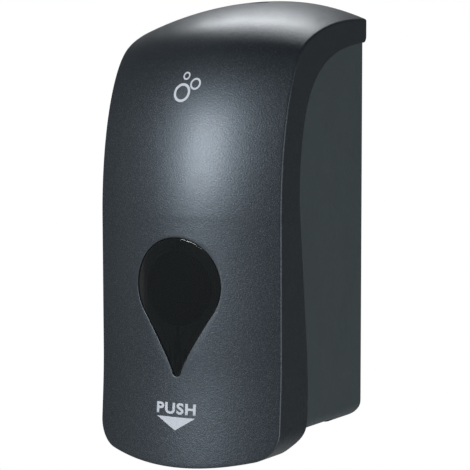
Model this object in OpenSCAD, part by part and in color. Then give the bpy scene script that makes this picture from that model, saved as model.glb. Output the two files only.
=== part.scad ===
// Wall mounted soap dispenser. The whole front cover is the push lever.
// +Z is up, +Y points into the wall and the cover faces -Y.
// The origin is on the wall, in the middle of the four wall screw holes.

/* [Cover] */
// Width over the two flat side strips
cover_w = 120; // [105:1:150]
// Depth from the wall to the sharp edge between side and front
side_d = 109; // [100:1:135]
// Height of the side's top edge above the wall screw centre
top_h = 125; // [105:1:155]
// Drop of the side's bottom edge below the wall screw centre
bottom_h = 122; // [102:1:150]
// Wall thickness of the cover
cover_t = 2.2; // [1.6:0.1:3]
// Bulge of the front, side edge to middle
front_crown = 15; // [9:0.5:18]
// Bulge of the roof at the wall
roof_crown = 12.5; // [9:0.5:16]
// Radius of the two bottom corners seen from the front
corner_r = 17; // [14:0.5:20]
// Height of the window's round middle above the wall screw centre
window_z = -29; // [-40:1:0]
// Radius of the round upper part of the drop window
window_r = 27.5; // [20:0.5:30]

/* [Housing] */
// Wall of the housing's sides
housing_t = 2.4; // [1.8:0.1:3]
// Gap between the cover's side and the housing's side
side_gap = 0.4; // [0.3:0.1:0.8]
// Depth of the housing's sides from the wall
housing_d = 92; // [80:1:96]
// Spacing of the wall screws across
wall_dx = 70; // [50:1:80]
// Spacing of the wall screws up the wall
wall_dz = 150; // [120:1:160]
// Radius of the wall screw holes
wall_hole_r = 2.75; // [2:0.05:3.2]

/* [Mechanism] */
// Full push of the cover in degrees
push_angle = 4; // [3:0.25:4.5]
// Radius of the two top hinge pins
top_pin_r = 2; // [1.5:0.1:2.6]
// Radius of the two bottom hinge pins
low_pin_r = 2.5; // [2:0.1:3]
// Radial clearance of a turning or sliding fit
fit = 0.05; // [0.02:0.01:0.09]
// Bore radius of the pump chamber
bore_r = 10; // [8:0.5:11]
// Radius of the plunger rod
rod_r = 4; // [3:0.1:5]
// Radius of the lock barrel
barrel_r = 5; // [4:0.1:6]

/* [Tank] */
// Gap between the tank and the frame's arms
tank_gap = 3.5; // [2:0.5:8]
// Wall of the soap tank
tank_t = 1.8; // [1.2:0.1:2.4]
// Radius of the filling mouth
mouth_r = 25; // [18:0.5:27]

/* [Hidden] */

round_fn = 48;
pin_fn = 32;
hw = cover_w / 2;
front_y = -side_d;
low_z = -bottom_h;
skin_z = low_z - 15;
lip_drop = 11.2;
lip_rise = 0.00256;
shoulder_dip = 4;
lip_d = 6;
ahead_y = front_y - front_crown - 10;
above_z = top_h + roof_crown + 5;
weld = 0.6;
edge_steps = 8;
cross_steps = 16;

// Housing
house_hw = hw - cover_t - side_gap;
back_t = 3;
house_low = low_z + 5.4;
house_top = top_h - 7;
house_r = 10;
house_edge_r = 8;
floor_d = 34;
lintel_d = 7;
sweep_gap = 0.8;

// Hinges of the push frame (top) and of the cover (bottom)
top_y = -25;
top_z = top_h - 14;
low_y = front_y + 37;
low_pivot_z = low_z + 12;
eye_r = 6.5;
low_eye_r = 6;
bush_t = 1.5;
arm_x = house_hw - 9.1;
arm_t = 4;
arm_out = arm_x + arm_t;
boss_x = arm_out + 0.6;
arm_gap = 1;
band_out = cover_t + 1;
band_w = 8;
press_bar_y = front_y + band_out;
bar_t = 4;
bar_h = 12;

// Pump, measured back from the press pad's nose
pump_z = low_z + 38;
pad_r = 4;
pad_y = press_bar_y + bar_t + 1.3;
pad_nose = pad_y + pad_r;
press_gap = 0.3;
lever = top_z - pump_z;
stroke = lever * sin(push_angle) + (top_y - pad_y) * (1 - cos(push_angle));
head_y = pad_nose + press_gap;
head_t = 3;
gland_y = head_y + head_t + stroke + 0.4;
gland_t = 4;
pump_wall = 3;
piston_y = gland_y + gland_t + 1;
piston_t = 6;
port_r = 3.5;
port_y = piston_y + piston_t + stroke + port_r + 1.5;
chamber_end = port_y + port_r + 3.5;
pump_end = chamber_end + 4;
stud_r = 5;
stud_l = 8;
bracket_dx = 19;
bracket_dz = 14;
seal_w = 1.6;
seal_r = bore_r - fit;
seal_in = 0.9;
seal_depth = 1.4;
seal_places = [piston_y + seal_in, piston_y + piston_t - seal_in - seal_w];
coil_r = bore_r - 2.6;
wire_r = 0.6;
coils = 6;

// Tank, neck and valves
tank_hw = arm_x - tank_gap;
tank_back = -6;
tank_front = front_y + 28;
tank_r = 8;
tank_low = low_z + 78;
tank_top = top_h - 33;
mouth_t = 2.8;
mouth_h = 4;
mouth_y = (tank_back + tank_front) / 2;
gasket_h = 0.8;
neck_r = 10;
neck_bore = 6.5;
neck_end = tank_low - 12;
seal_h = 2;
flange_h = 3;
tower_r = 8;
valve_low = neck_end - 10;
ball_r = 4;
spout_top = pump_z - bore_r - 4;
outlet_r = 7;
outlet_end = spout_top - 6;
nozzle_r = 9;
nozzle_end = outlet_end - 8;
spout_r = 5;
spout_bore = 2.5;
spout_end = low_z - 6;

// Lock on the frame's top bar
bar_low = top_z - 5;
bar_top = top_z - 1;
barrel_y = top_y;
barrel_end = top_h + roof_crown - cover_t - 2.5;
cam_z = top_z + 0.8;
cam_t = 3;
cam_l = 14;
cam_w = 7;
bush_r = barrel_r + 3;
key_hole_r = barrel_r + 0.6;
catch_x0 = 8;
catch_x1 = 18;
catch_y = barrel_y + cam_w / 2 + 1;
catch_t = 3;
catch_seat = top_h - 1;
catch_d = 10;
catch_screw_x = -(catch_x0 + catch_x1) / 2;
catch_screw_y = catch_y + 6.6;

// Window
lens_t = 1.4;
lens_sink = 0.5;
window_gap = 0.25;
window_wall = 2.2;
window_rim = 3;
tip_r = 2.7;
tip_drop = 49.3;
sight_r = 20;
sight_z = window_z - 1.6;
gasket_t = 1;

// Cover's hinge arms
foot_in = arm_x - arm_gap - arm_t;
pad_in = foot_in - 8;
arm_front = front_y + 5;
arm_plate = 3;
arm_low = low_pivot_z - 6;
arm_high = low_pivot_z + 14;
screw_r = 1.5;
head_r = 3;
head_h = 2;
arm_screw_x = pad_in + 4;
arm_screw_z = [arm_low + 5, arm_high - 5];

// ---- Curves ----

// Point, and direction of travel, on a cubic curve with four control points
function bez(p, t) = pow(1 - t, 3) * p[0] + 3 * pow(1 - t, 2) * t * p[1]
    + 3 * (1 - t) * t * t * p[2] + pow(t, 3) * p[3];
function bez_way(p, t) = pow(1 - t, 2) * (p[1] - p[0]) + 2 * (1 - t) * t * (p[2] - p[1])
    + t * t * (p[3] - p[2]);
function straight(a, b) = [a, a + (b - a) / 3, a + 2 * (b - a) / 3, b];
function curve(parts, steps) = concat(
    [for (p = parts) for (i = [0 : steps - 1]) bez(p, i / steps)], [parts[len(parts) - 1][3]]);

// Side edge of the cover in Y and Z: roof, shoulder, front and flared lip
shoulder = [front_y + 27, top_h - 18.9];
waist = [front_y, top_h - 115];
flare = [front_y + 0.6, low_z + 53];
edge_parts = [
    [[0, top_h], [-32, top_h], shoulder + [14, 11.3], shoulder],
    [shoulder, shoulder + [-15.5, -12.6], [front_y, top_h - 70], waist],
    straight(waist, flare),
    [flare, [front_y + 0.8, low_z + 32], [front_y - 1.6, low_z + 10], [front_y - 3, skin_z]]];

// Each entry is a point of the edge with its outward direction
function outward(d) = [d[1], -d[0]] / norm(d);
edge = concat(
    [for (p = edge_parts) for (i = [0 : edge_steps - 1])
        [bez(p, i / edge_steps), outward(bez_way(p, i / edge_steps))]],
    [[edge_parts[3][3], outward(bez_way(edge_parts[3], 1))]]);

// Side edge moved inwards
function inner_edge(inset) = [for (e = edge) e[0] - inset * e[1]];

// Bulge at a place across the width, from 0 in the middle to 1 at the side
function bulge(n, u) = (roof_crown * n[1] * n[1] + front_crown * n[0] * n[0]
    - shoulder_dip * abs(n[0] * n[1])) * (1 - u * u);

// Rear edge of the cover's side strip
strip_parts = [
    [[-4, top_h - 14], [-38, top_h - 17.5], [front_y + 43, top_h - 25], [front_y + 30.4, top_h - 54.3]],
    [[front_y + 30.4, top_h - 54.3], [front_y + 24.5, top_h - 70], [front_y + 20.5, top_h - 95],
        [front_y + 23, top_h - 115]],
    straight([front_y + 23, top_h - 115], [front_y + 31.2, low_z + 61]),
    [[front_y + 31.2, low_z + 61], [front_y + 33.5, low_z + 39], [front_y + 33.5, low_z + 22],
        [front_y + 32, low_z + 12]],
    [[front_y + 32, low_z + 12], [front_y + 30.7, low_z + 5], [front_y + 27, low_z + 1],
        [front_y + 19, low_z - 0.2]]];
strip_corner = 4;

function turned(p, a) = [
    top_y + (p[0] - top_y) * cos(a) - (p[1] - top_z) * sin(a),
    top_z + (p[0] - top_y) * sin(a) + (p[1] - top_z) * cos(a)];

// ---- Helpers ----

// Draws a Y-Z outline and gives it a thickness along X, from x0 to x1
module along_x(x0, x1) {
    translate([x0, 0, 0])
        rotate([90, 0, 90])
            linear_extrude(height = x1 - x0)
                children();
}

// Draws an X-Z outline and gives it a thickness along Y, from y0 to y1
module along_y(y0, y1) {
    translate([0, y1, 0])
        rotate([90, 0, 0])
            linear_extrude(height = y1 - y0)
                children();
}

module block(low, high) {
    translate(low)
        cube(high - low);
}

// Round bar along X, Y or Z
module bar_x(x0, x1, y, z, r) {
    translate([x0, y, z])
        rotate([0, 90, 0])
            cylinder(h = x1 - x0, r = r, $fn = round_fn);
}
module bar_y(x, z, y0, y1, r) {
    translate([x, y1, z])
        rotate([90, 0, 0])
            cylinder(h = y1 - y0, r = r, $fn = round_fn);
}
module bar_z(x, y, z0, z1, r) {
    translate([x, y, z0])
        cylinder(h = z1 - z0, r = r, $fn = round_fn);
}

module tube_z(x, y, z0, z1, r, bore) {
    difference() {
        bar_z(x, y, z0, z1, r);
        bar_z(x, y, z0 - 1, z1 + 1, bore);
    }
}
module tube_y(x, z, y0, y1, r, bore) {
    difference() {
        bar_y(x, z, y0, y1, r);
        bar_y(x, z, y0 - 1, y1 + 1, bore);
    }
}
module tube_x(x0, x1, y, z, r, bore) {
    difference() {
        bar_x(x0, x1, y, z, r);
        bar_x(x0 - 1, x1 + 1, y, z, bore);
    }
}

module both_sides() {
    children();
    mirror([1, 0, 0])
        children();
}

// Rectangle from a low to a high corner with four round corners
module round_rect(low, high, r) {
    translate(low + [r, 0])
        square([high[0] - low[0] - 2 * r, high[1] - low[1]]);
    translate(low + [0, r])
        square([high[0] - low[0], high[1] - low[1] - 2 * r]);
    for (x = [low[0] + r, high[0] - r])
        for (y = [low[1] + r, high[1] - r])
            translate([x, y])
                circle(r, $fn = round_fn);
}

// ---- Cover's shape ----

// The skin runs a little past both sides, where front_view() trims it
function skin_point(e, x, inset) = let (h = bulge(e[1], x / hw) - inset)
    [x, e[0][0] + e[1][0] * h, e[0][1] + e[1][1] * h];

// Solid under the bulging skin, back to the wall plane, with the skin moved inwards
module skin_body(inset) {
    rows = len(edge);
    cols = cross_steps + 1;
    across = [for (j = [0 : cross_steps]) (hw + 1) * (2 * j / cross_steps - 1)];
    points = concat(
        [for (e = edge) for (x = across) skin_point(e, x, inset)],
        [for (x = across) [x, 0, skin_z - 2]]);
    back = rows * cols;
    quads = concat(
        [for (k = [0 : rows - 2]) for (j = [0 : cross_steps - 1])
            [k * cols + j, k * cols + j + 1, (k + 1) * cols + j + 1, (k + 1) * cols + j]],
        [for (j = [0 : cross_steps - 1])
            [back - cols + j, back - cols + j + 1, back + j + 1, back + j]]);
    triangles = [for (q = quads) for (t = [[q[0], q[1], q[2]], [q[0], q[2], q[3]]]) t];
    left = concat([for (k = [0 : rows - 1]) k * cols], [back]);
    right = concat([back + cross_steps], [for (k = [rows - 1 : -1 : 0]) k * cols + cross_steps]);
    rear = concat([for (j = [0 : cross_steps]) back + j], [for (j = [cross_steps : -1 : 0]) j]);
    polyhedron(points, concat(triangles, [left, right, rear]));
}

// Front view of the cover with its curved bottom edge, moved inwards
module front_view(inset) {
    r = corner_r - inset;
    half = hw - inset;
    turn = atan(2 * lip_rise * (hw - corner_r));
    foot_x = half - r * (1 - sin(turn));
    lip = low_z - lip_drop + inset;
    foot_z = lip + lip_rise * foot_x * foot_x;
    mid = [half - r, foot_z + r * cos(turn)];
    steps = 10;
    smile = [for (i = [-steps : steps]) let (x = foot_x * i / steps) [x, lip + lip_rise * x * x]];
    arc = [for (i = [1 : steps]) let (a = -90 + turn + (90 - turn) * i / steps)
        mid + r * [cos(a), sin(a)]];
    polygon(concat(
        [[-half, above_z]],
        [for (i = [steps - 1 : -1 : 0]) [-arc[i][0], arc[i][1]]],
        smile, arc, [[half, above_z]]));
}

// Side view of everything behind the cover's side strips
module behind_strip() {
    rear = curve(strip_parts, edge_steps);
    corner = [for (a = [90 : -30 : 0]) [-strip_corner, top_h - 14 + strip_corner]
        + strip_corner * [sin(a), -cos(a)]];
    polygon(concat([[1, top_h - 10]], corner, rear, [[front_y + 17, skin_z - 5], [1, skin_z - 5]]));
}

// Drop outline: a round top with flanks that run down to a small round tip, shrunk by a gap
module drop(gap) {
    r = window_r - gap;
    tip = tip_r - gap;
    open = 35;
    leave = r * [cos(open), -sin(open)];
    way = [-sin(open), -cos(open)];
    flank = [leave, leave + 14 * way, [tip + 1.5, 5 - tip_drop], [tip, -tip_drop]];
    right = concat(
        [for (a = [90 : -7.8125 : 0]) r * [cos(a), sin(a)]],
        [for (a = [0 : -7 : -28]) r * [cos(a), sin(a)]],
        [for (i = [0 : 8]) bez(flank, i / 8)],
        [for (a = [-30 : -30 : -90]) [0, -tip_drop] + tip * [cos(a), sin(a)]]);
    translate([0, window_z])
        polygon(concat(right, [for (i = [len(right) - 2 : -1 : 1]) [-right[i][0], right[i][1]]]));
}

// Slice of the cover's thickness between two depths under the skin, cut to a front view outline
module skin_slice(outer, inner) {
    intersection() {
        difference() {
            skin_body(outer);
            skin_body(inner);
        }
        along_y(ahead_y, front_y + 2)
            children();
    }
}

// The skin is a free curved surface, so its pieces are joined as one mesh
module one_mesh() {
    resize([0, 0, 0])
        children();
}

// ---- Housing and what is fixed to it ----

// Side view of the housing, clear of the cover's roof and front at rest and when pushed
module housing_view() {
    rest = concat(inner_edge(cover_t + sweep_gap), [[0, skin_z]]);
    pushed = [for (p = rest) turned(p, push_angle)];
    intersection() {
        polygon(rest);
        polygon(pushed);
        union() {
            translate([-housing_d, house_low])
                square([housing_d - house_r, house_top - house_low]);
            translate([-house_r - 1, house_low + house_r])
                square([house_r + 1, house_top - house_low - house_r]);
            translate([-house_r, house_low + house_r])
                circle(house_r, $fn = round_fn);
        }
    }
}

module housing_cavity() {
    r = house_r - back_t;
    half = house_hw - housing_t;
    block([-half, -housing_d - 5, house_low + housing_t + r], [half, -back_t, house_top - housing_t]);
    block([-half, -housing_d - 5, house_low + housing_t], [half, -back_t - r, house_top - housing_t]);
    bar_x(-half, half, -back_t - r, house_low + housing_t + r, r);
    block([-half, -housing_d - 5, house_low - 1], [half, -floor_d, house_top + 1]);
    block([-half, -housing_d - 5, house_top - housing_t - 1], [half, -lintel_d, house_top + 1]);
}

module rear_housing() color([0.22, 0.25, 0.26]) {
    difference() {
        union() {
            difference() {
                intersection() {
                    along_x(-house_hw, house_hw)
                        housing_view();
                    along_y(-housing_d - 1, 1)
                        round_rect([-house_hw, house_low], [house_hw, house_top + house_edge_r],
                            house_edge_r);
                }
                housing_cavity();
            }
            // Bosses for the top hinge pins, and ledges for the rest pads
            both_sides() {
                bar_x(boss_x, house_hw - 1, top_y, top_z, eye_r - 0.5);
                block([arm_x, top_y + 4, top_z - 14], [house_hw - 1, top_y + 11, top_z - 11]);
            }
        }
        both_sides()
            bar_x(boss_x - 1, house_hw + 1, top_y, top_z, top_pin_r);
        for (x = [-wall_dx / 2, wall_dx / 2])
            for (z = [-wall_dz / 2, wall_dz / 2])
                bar_y(x, z, -back_t - 1, 1, wall_hole_r);
    }
}

module hinge_pins() color([0.7, 0.72, 0.74])
    both_sides()
        bar_x(arm_x - 1, house_hw - 0.2, top_y, top_z, top_pin_r);

module rest_pads() color([0.1, 0.1, 0.1])
    both_sides()
        block([arm_x, top_y + 5, top_z - 11], [arm_out, top_y + 10, top_z - 7.1]);

module soap_tank() color([0.85, 0.87, 0.86]) {
    difference() {
        union() {
            translate([0, 0, tank_low])
                linear_extrude(height = tank_top - tank_low)
                    round_rect([-tank_hw, tank_front], [tank_hw, tank_back], tank_r);
            bar_z(0, mouth_y, tank_top - 1, tank_top + mouth_h, mouth_r + mouth_t);
            bar_z(0, port_y, neck_end, tank_low + 1, neck_r);
        }
        translate([0, 0, tank_low + tank_t])
            linear_extrude(height = tank_top - tank_low - 2 * tank_t)
                round_rect([-tank_hw + tank_t, tank_front + tank_t], [tank_hw - tank_t, tank_back - tank_t],
                    tank_r - tank_t);
        bar_z(0, mouth_y, tank_top - tank_t - 1, tank_top + mouth_h + 1, mouth_r);
        bar_z(0, port_y, neck_end - 1, tank_low + tank_t + 1, neck_bore);
    }
}

module tank_lid() color([0.12, 0.13, 0.14]) {
    skirt_bore = mouth_r + mouth_t + 0.3;
    lid_low = tank_top + mouth_h + gasket_h;
    bar_z(0, mouth_y, lid_low, lid_low + 2, skirt_bore + 2);
    tube_z(0, mouth_y, tank_top + 0.5, lid_low + 0.5, skirt_bore + 2, skirt_bore);
    block([-14, mouth_y - 1.5, lid_low + 1], [14, mouth_y + 1.5, lid_low + 4]);
}

module lid_gasket() color([0.75, 0.2, 0.15])
    tube_z(0, mouth_y, tank_top + mouth_h, tank_top + mouth_h + gasket_h, mouth_r + mouth_t, mouth_r);

module tank_clips() color([0.3, 0.32, 0.33])
    both_sides() {
        block([tank_hw - 16, tank_back, tank_top - 14], [tank_hw - 8, -back_t, tank_top + 2]);
        block([tank_hw - 16, tank_back - 8, tank_top], [tank_hw - 8, tank_back + 1, tank_top + 2]);
    }

// Places its children at the bracket's four screws
module at_bracket_screws()
    for (x = [-bracket_dx, bracket_dx])
        for (z = [pump_z - bracket_dz, pump_z + bracket_dz])
            translate([x, 0, z])
                children();

module pump_bracket() color([0.3, 0.32, 0.33]) {
    difference() {
        union() {
            block([-25, -back_t - 3, pump_z - 20], [25, -back_t, pump_z + 20]);
            block([-10, pump_end, pump_z - 10], [10, -back_t - 2, pump_z + 10]);
        }
        at_bracket_screws()
            bar_y(0, 0, -back_t - 4, -back_t + 1, screw_r);
        bar_y(0, pump_z, pump_end - 1, pump_end + stud_l, stud_r);
    }
}

module bracket_screws() color([0.6, 0.61, 0.62])
    at_bracket_screws() {
        bar_y(0, 0, -back_t - 4, -back_t, screw_r);
        bar_y(0, 0, -back_t - 3 - head_h, -back_t - 3, head_r);
    }

module pump_body() color([0.86, 0.87, 0.86]) {
    difference() {
        union() {
            bar_y(0, pump_z, gland_y + gland_t, pump_end, bore_r + pump_wall);
            bar_y(0, pump_z, pump_end - 1, pump_end + stud_l, stud_r);
            bar_z(0, port_y, pump_z, neck_end - seal_h, tower_r);
            bar_z(0, port_y, neck_end - seal_h - flange_h, neck_end - seal_h, neck_r);
            bar_z(0, port_y, outlet_end, pump_z, outlet_r);
        }
        bar_y(0, pump_z, gland_y, chamber_end, bore_r);
        bar_z(0, port_y, outlet_end - 1, pump_z, port_r);
        bar_z(0, port_y, pump_z, valve_low + 1, port_r);
        bar_z(0, port_y, valve_low, neck_end, neck_bore);
    }
}

module gland_cap() color([0.2, 0.22, 0.23]) {
    tube_y(0, pump_z, gland_y, gland_y + gland_t, bore_r + pump_wall + 2, rod_r + fit);
    tube_y(0, pump_z, gland_y + gland_t - 0.5, gland_y + gland_t + 6, bore_r + pump_wall + 2,
        bore_r + pump_wall);
}

module neck_nut() color([0.2, 0.22, 0.23]) {
    low = neck_end - seal_h - flange_h - 2.5;
    difference() {
        bar_z(0, port_y, low, neck_end + 7, neck_r + 3.5);
        bar_z(0, port_y, low + 2.5, neck_end + 8, neck_r);
        bar_z(0, port_y, low - 1, low + 4, tower_r);
    }
}

module neck_seal() color([0.75, 0.2, 0.15])
    tube_z(0, port_y, neck_end - seal_h, neck_end, neck_r, neck_bore);

module inlet_ball() color([0.7, 0.72, 0.74])
    translate([0, port_y, valve_low + sqrt(ball_r * ball_r - port_r * port_r) + 0.01])
        sphere(ball_r, $fn = round_fn);

module ball_cage() color([0.3, 0.32, 0.33])
    difference() {
        bar_z(0, port_y, neck_end - 1.2, neck_end, neck_bore);
        for (a = [0 : 60 : 300])
            bar_z(3.6 * cos(a), port_y + 3.6 * sin(a), neck_end - 3, neck_end + 1, 1.2);
    }

module nozzle() color([0.2, 0.22, 0.23]) {
    difference() {
        union() {
            bar_z(0, port_y, nozzle_end, outlet_end + 5, nozzle_r);
            bar_z(0, port_y, spout_end, nozzle_end + 1, spout_r);
        }
        bar_z(0, port_y, outlet_end, outlet_end + 6, outlet_r);
        bar_z(0, port_y, nozzle_end + 2, outlet_end + 1, spout_r + 0.5);
        bar_z(0, port_y, spout_end - 1, nozzle_end + 3, spout_bore);
    }
}

module outlet_valve() color([0.9, 0.9, 0.88]) {
    difference() {
        bar_z(0, port_y, outlet_end - 2, outlet_end, spout_r + 0.5);
        bar_z(0, port_y, outlet_end - 3, outlet_end + 1, 1.6);
    }
    difference() {
        bar_z(0, port_y, outlet_end - 5.5, outlet_end - 1.5, 2.6);
        bar_z(0, port_y, outlet_end - 4.5, outlet_end, 1.6);
        block([-2, port_y - 0.2, outlet_end - 6], [2, port_y + 0.2, outlet_end - 4]);
    }
}

// ---- Push frame ----

module arm_view() {
    reach = [for (e = edge) if (e[0][0] < top_y + 1 && e[0][1] > arm_low) e];
    outer = [for (e = reach) e[0] - band_out * e[1]];
    inner = [for (i = [len(reach) - 1 : -1 : 0]) reach[i][0] - (band_out + band_w) * reach[i][1]];
    toe = [[press_bar_y, arm_low], [press_bar_y + band_w, arm_low]];
    polygon(concat(outer, toe, inner));
    // Foot that carries the cover's pivot
    translate([press_bar_y + 1, low_pivot_z - low_eye_r])
        square([low_y - press_bar_y - 1, 2 * low_eye_r]);
    translate([low_y, low_pivot_z])
        circle(low_eye_r, $fn = round_fn);
    // Top eye, a web up to the arm, and a heel that lands on the rest pad
    translate([top_y, top_z])
        circle(eye_r, $fn = round_fn);
    translate([top_y - 9, top_z])
        square([12, top_h - band_out - band_w - top_z + 2]);
    translate([top_y + 4, top_z - 7])
        square([6, 7]);
}

module push_frame() color([0.33, 0.35, 0.36]) {
    difference() {
        union() {
            both_sides()
                along_x(arm_x, arm_out)
                    arm_view();
            block([-arm_x - 1, top_y - 7, bar_low], [arm_x + 1, top_y + 7, bar_top]);
            block([-arm_x - 1, press_bar_y, pump_z - bar_h / 2],
                [arm_x + 1, press_bar_y + bar_t, pump_z + bar_h / 2]);
        }
        both_sides() {
            bar_x(arm_x - 1, arm_out + 1, top_y, top_z, top_pin_r + bush_t);
            bar_x(arm_x - 1, arm_out + 1, low_y, low_pivot_z, low_pin_r);
        }
        bar_z(0, barrel_y, bar_low - 1, bar_top + 1, bush_r);
    }
}

module frame_bushes() color([0.9, 0.88, 0.8])
    both_sides()
        tube_x(arm_x, arm_out, top_y, top_z, top_pin_r + bush_t, top_pin_r + fit);

module press_pad() color([0.9, 0.88, 0.8]) {
    difference() {
        union() {
            bar_x(-9, 9, pad_y, pump_z, pad_r);
            block([-9, press_bar_y + bar_t, pump_z - 5], [9, pad_y, pump_z + 5]);
        }
        block([-10, press_bar_y, pump_z - 6], [10, press_bar_y + bar_t, pump_z + 6]);
    }
}

module frame_pins() color([0.7, 0.72, 0.74])
    both_sides()
        bar_x(foot_in - 1, arm_out, low_y, low_pivot_z, low_pin_r);

module barrel_bush() color([0.75, 0.62, 0.3]) {
    tube_z(0, barrel_y, bar_low - 1.5, bar_top, bush_r, barrel_r + fit);
    tube_z(0, barrel_y, bar_low - 1.5, bar_low, bush_r + 2, bush_r - 1);
}

// ---- Plunger ----

module plunger_head() color([0.2, 0.22, 0.23])
    along_y(head_y, head_y + head_t)
        round_rect([-11, pump_z - 15], [11, pump_z + 9], 3);

module plunger_rod() color([0.9, 0.9, 0.88])
    bar_y(0, pump_z, head_y + head_t, piston_y + piston_t, rod_r);

module piston() color([0.3, 0.32, 0.33])
    difference() {
        tube_y(0, pump_z, piston_y, piston_y + piston_t, seal_r - 0.3, rod_r);
        for (y = seal_places)
            tube_y(0, pump_z, y, y + seal_w, bore_r + 1, seal_r - seal_depth);
    }

module piston_seals() color([0.1, 0.1, 0.1])
    for (y = seal_places)
        tube_y(0, pump_z, y, y + seal_w, seal_r, seal_r - seal_depth);

// Coil spring inside the chamber, swept as a six sided wire
module return_spring() color([0.75, 0.76, 0.78]) {
    low = piston_y + piston_t + wire_r + 0.1;
    high = chamber_end - wire_r - 0.1;
    rings = coils * 16;
    sides = 6;
    points = [for (i = [0 : rings]) let (a = 360 * i / 16, y = low + (high - low) * i / rings)
        for (s = [0 : sides - 1]) let (b = 360 * s / sides, r = coil_r + wire_r * cos(b))
            [r * sin(a), y + wire_r * sin(b), pump_z + r * cos(a)]];
    walls = [for (i = [0 : rings - 1]) for (s = [0 : sides - 1]) let (n = (s + 1) % sides)
        [i * sides + s, i * sides + n, (i + 1) * sides + n, (i + 1) * sides + s]];
    first = [for (s = [sides - 1 : -1 : 0]) s];
    last = [for (s = [0 : sides - 1]) rings * sides + s];
    polyhedron(points, concat(walls, [first, last]));
}

// ---- Lock ----

module lock_barrel() color([0.75, 0.76, 0.78])
    difference() {
        bar_z(0, barrel_y, bar_low - 5, barrel_end, barrel_r);
        block([-3, barrel_y - 0.7, barrel_end - 4], [3, barrel_y + 0.7, barrel_end + 1]);
        tube_z(0, barrel_y, bar_low - 3.6, bar_low - 2.4, barrel_r + 1, barrel_r - 0.8);
    }

module lock_cam() color([0.75, 0.76, 0.78])
    difference() {
        union() {
            bar_z(0, barrel_y, cam_z, cam_z + cam_t, bush_r);
            block([-cam_w / 2, barrel_y - cam_l, cam_z], [cam_w / 2, barrel_y, cam_z + cam_t]);
        }
        bar_z(0, barrel_y, cam_z - 1, cam_z + cam_t + 1, barrel_r);
    }

module barrel_clip() color([0.5, 0.51, 0.52])
    difference() {
        tube_z(0, barrel_y, bar_low - 3.5, bar_low - 2.5, barrel_r + 2, barrel_r - 0.8);
        block([-2, barrel_y, bar_low - 4], [2, barrel_y + barrel_r + 3, bar_low - 2]);
    }

// ---- Cover parts ----

module plain_shell() {
    difference() {
        intersection() {
            skin_body(0);
            along_y(ahead_y, 0)
                front_view(0);
        }
        intersection() {
            skin_body(cover_t);
            along_y(ahead_y, 1)
                front_view(cover_t);
        }
        along_x(-hw - 2, hw + 2)
            behind_strip();
        block([-foot_in, front_y - front_crown + lip_d, skin_z], [foot_in, 1, low_z + 1]);
    }
}

// Flat faced bosses that the hinge arms are screwed to
module arm_bosses()
    both_sides()
        block([pad_in, ahead_y, arm_low], [foot_in + arm_t, arm_front, arm_high]);

module catch_boss()
    block([-catch_x1, catch_y, catch_seat], [-catch_x0, catch_y + catch_d, above_z]);

module front_cover() color([0.17, 0.2, 0.23])
    one_mesh()
        difference() {
            union() {
                plain_shell();
                // Thick rim behind the window
                skin_slice(cover_t - weld, lens_sink + lens_t + gasket_t + window_wall)
                    drop(-window_rim);
                intersection() {
                    skin_body(cover_t - weld);
                    union() {
                        arm_bosses();
                        catch_boss();
                    }
                }
            }
            // Pocket for the lens and its gasket, and the round sight hole in its floor
            skin_slice(-2, lens_sink + lens_t + gasket_t)
                drop(0);
            bar_y(0, sight_z, ahead_y, front_y + 5, sight_r);
            bar_z(0, barrel_y, top_h, above_z, key_hole_r);
            both_sides()
                for (z = arm_screw_z)
                    bar_y(arm_screw_x, z, arm_front - 6, arm_front + 1, screw_r);
            bar_z(catch_screw_x, catch_screw_y, catch_seat - 1, catch_seat + 6, screw_r);
        }

module window_lens() color([0.05, 0.06, 0.06, 0.8])
    one_mesh()
        skin_slice(lens_sink, lens_sink + lens_t)
            drop(window_gap);

module window_gasket() color([0.08, 0.08, 0.08])
    one_mesh()
        difference() {
            skin_slice(lens_sink + lens_t, lens_sink + lens_t + gasket_t)
                drop(window_gap);
            bar_y(0, sight_z, ahead_y, front_y + 5, sight_r + 1.5);
        }

module cover_arms() color([0.3, 0.32, 0.33])
    both_sides()
        difference() {
            union() {
                along_x(foot_in, foot_in + arm_t) {
                    translate([arm_front, low_pivot_z - low_eye_r])
                        square([low_y - arm_front, 2 * low_eye_r]);
                    translate([low_y, low_pivot_z])
                        circle(low_eye_r, $fn = round_fn);
                }
                block([pad_in, arm_front, arm_low], [foot_in + arm_t, arm_front + arm_plate, arm_high]);
            }
            bar_x(foot_in - 1, foot_in + arm_t + 1, low_y, low_pivot_z, low_pin_r + fit);
            for (z = arm_screw_z)
                bar_y(arm_screw_x, z, arm_front - 1, arm_front + arm_plate + 1, screw_r);
        }

module arm_screws() color([0.6, 0.61, 0.62])
    both_sides()
        for (z = arm_screw_z) {
            bar_y(arm_screw_x, z, arm_front - 5, arm_front + arm_plate, screw_r);
            bar_y(arm_screw_x, z, arm_front + arm_plate, arm_front + arm_plate + head_h, head_r);
        }

module cover_catch() color([0.3, 0.32, 0.33])
    difference() {
        union() {
            block([-catch_x1, catch_y, catch_seat - 2], [-catch_x0, catch_y + catch_d, catch_seat]);
            block([-catch_x1, catch_y, cam_z], [-catch_x0, catch_y + catch_t, catch_seat - 1]);
        }
        bar_z(catch_screw_x, catch_screw_y, catch_seat - 3, catch_seat + 1, screw_r);
    }

module catch_screw() color([0.6, 0.61, 0.62]) {
    bar_z(catch_screw_x, catch_screw_y, catch_seat - 2, catch_seat + 5, screw_r);
    bar_z(catch_screw_x, catch_screw_y, catch_seat - 2 - head_h, catch_seat - 2, head_r);
}

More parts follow.
